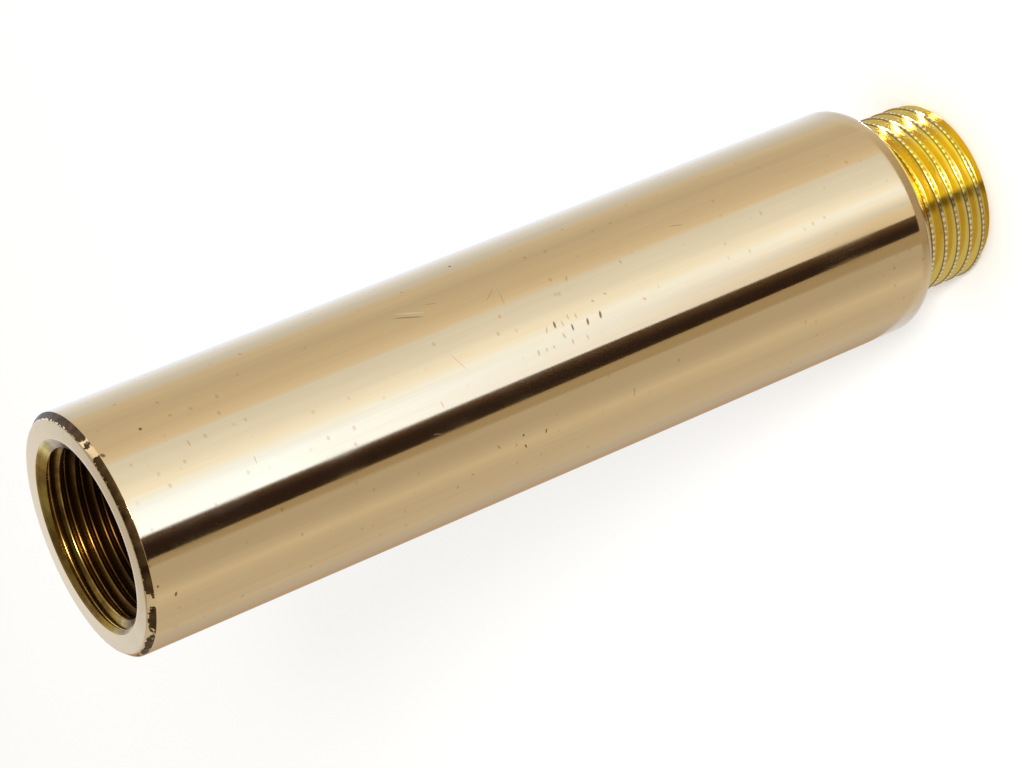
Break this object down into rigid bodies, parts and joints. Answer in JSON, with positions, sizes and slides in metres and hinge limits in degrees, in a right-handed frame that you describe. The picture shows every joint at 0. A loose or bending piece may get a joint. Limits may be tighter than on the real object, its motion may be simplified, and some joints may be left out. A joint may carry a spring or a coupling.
{
  "type": "threaded pipe extension",
  "caption": "Round turned brass extension for a water pipe, with an internal pipe thread in its mouth and an external pipe thread on a spigot at its other end.",
  "frame": {"origin": "middle of the spigot's end face, which the piece stands on", "axes": "+Z along the axis of the piece, from the spigot's end face to the open mouth; the side that the picture shows faces -Y"},
  "size_m": [0.0264, 0.0264, 0.1105],
  "materials": {
    "plated_brass": "polished pale gold plating on the outside of the body, bare machined brass on both threads"
  },
  "bodies": {
    "root": {"extension": "plated_brass"}
  },
  "joints": []
}
